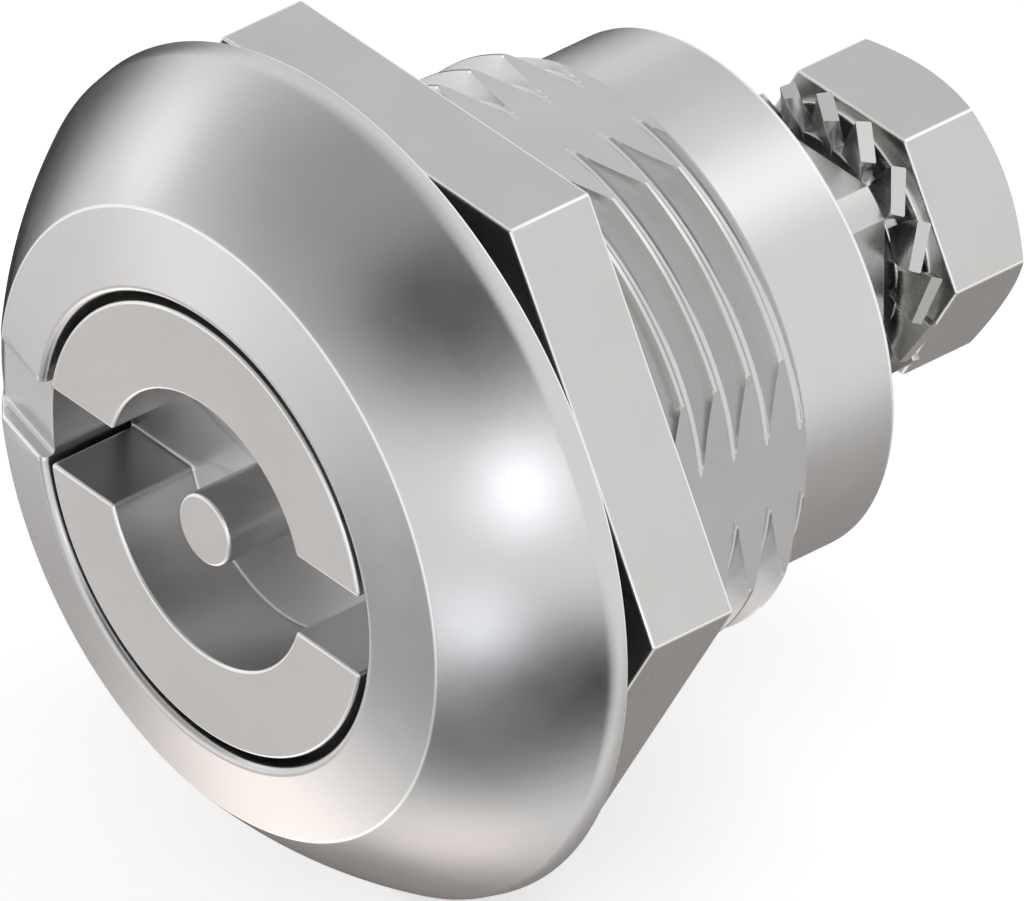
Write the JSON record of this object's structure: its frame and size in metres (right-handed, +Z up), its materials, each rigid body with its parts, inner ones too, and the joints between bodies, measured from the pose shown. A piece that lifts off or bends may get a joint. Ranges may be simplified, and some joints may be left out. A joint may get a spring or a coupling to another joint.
{
  "type": "compression latch",
  "caption": "Round turn and pull compression latch with a double-bit key socket, panel nut and square shaft for a cam.",
  "frame": {"origin": "on the axis of the latch, in the plane of the head's lip that lies on the front of the panel", "axes": "+Y along the axis to the rear, where the cam goes; +Z up; +X to the right as seen from the front"},
  "size_m": [0.032, 0.0336, 0.032],
  "materials": {
    "satin_nickel": "satin nickel plate, fine blasted grain",
    "plated_steel": "turned steel, nickel plated",
    "hardened_steel": "ground hardened steel",
    "bush_steel": "sintered steel",
    "spring_steel": "spring steel",
    "nitrile_rubber": "moulded nitrile rubber",
    "acetal": "moulded acetal"
  },
  "bodies": {
    "housing": {"housing": "satin_nickel", "hex_nut": "plated_steel", "flange_gasket": "nitrile_rubber", "thrust_washer": "acetal", "bush_circlip": "spring_steel"},
    "bush": {"guide_bush": "bush_steel"},
    "actuator": {"key_insert": "satin_nickel", "cam_sleeve": "hardened_steel", "insert_seal": "nitrile_rubber", "sleeve_snap_ring": "spring_steel"},
    "shaft": {"drive_shaft": "plated_steel", "cross_pin": "hardened_steel", "lock_washer": "plated_steel", "cam_screw": "plated_steel", "return_spring": "spring_steel"}
  },
  "joints": [
    {"name": "cam_swing", "type": "hinge", "parent": "housing", "child": "bush", "pos_m": [0, 0.015, 0], "axis": [0, -1, 0], "range_deg": [0, 90]},
    {"name": "key_turn", "type": "hinge", "parent": "bush", "child": "actuator", "pos_m": [0, 0, 0], "axis": [0, -1, 0], "range_deg": [0, 90]},
    {"name": "shaft_travel", "type": "slide", "parent": "bush", "child": "shaft", "axis": [0, 1, 0], "range_m": [0, 0.004], "deforming": ["return_spring"]}
  ],
  "couplings": [
    {"joint": "shaft_travel", "follows": "key_turn", "m_per_rad": 0.0025464}
  ]
}
